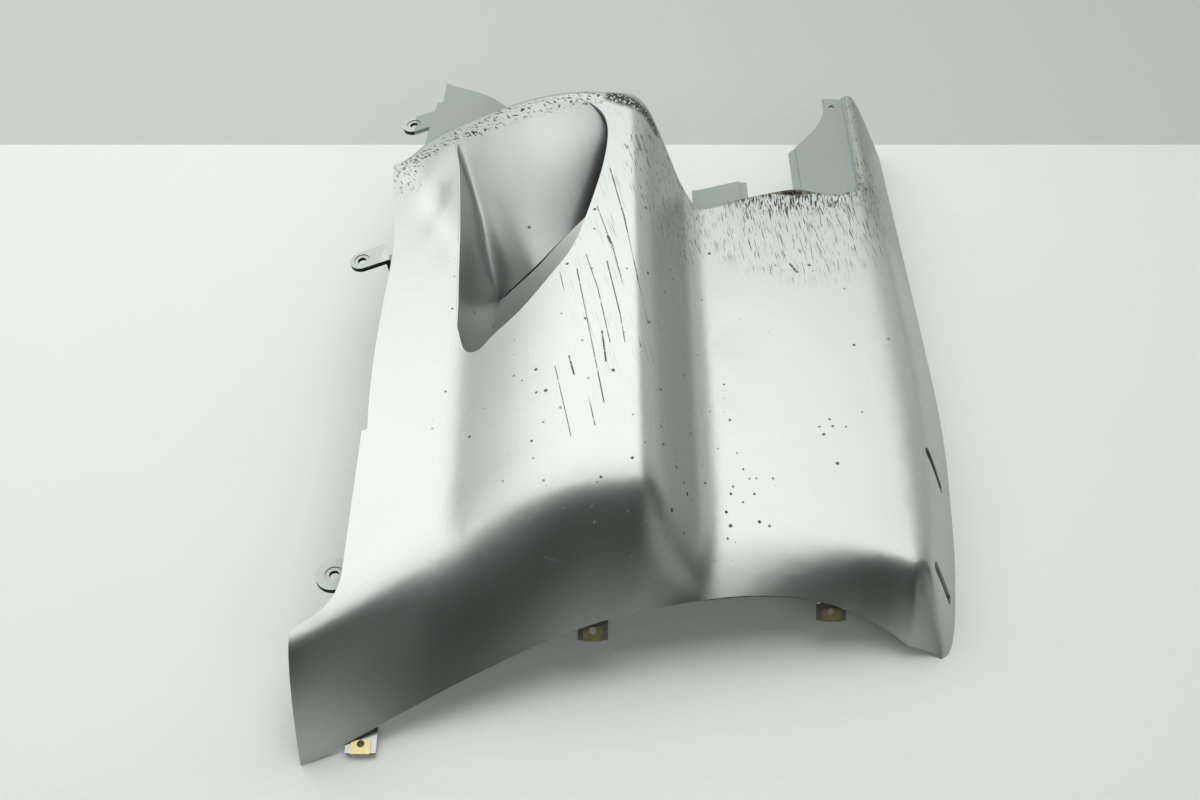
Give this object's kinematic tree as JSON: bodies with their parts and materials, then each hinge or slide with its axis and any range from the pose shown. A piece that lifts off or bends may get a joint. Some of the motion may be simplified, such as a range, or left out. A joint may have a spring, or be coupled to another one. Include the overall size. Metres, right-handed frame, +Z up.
{
  "type": "motorcycle belly pan",
  "caption": "Thin painted half of a motorcycle lower fairing, with a domed side, a scooped vent, a far-edge notch, mounting lugs, side slots and clip nuts on its seam edge.",
  "frame": {"origin": "middle of the footprint on the table", "axes": "+Z up from the table with the dome on top, +Y away from the seam edge, +X along the seam edge towards the rolled side"},
  "size_m": [0.4914, 0.6622, 0.1581],
  "materials": {
    "painted_plastic": "worn silver metallic paint over black moulded plastic",
    "zinc_plated_steel": "yellow passivated zinc plate"
  },
  "bodies": {
    "root": {"belly_pan": "painted_plastic", "clip_nuts": "zinc_plated_steel"}
  },
  "joints": []
}
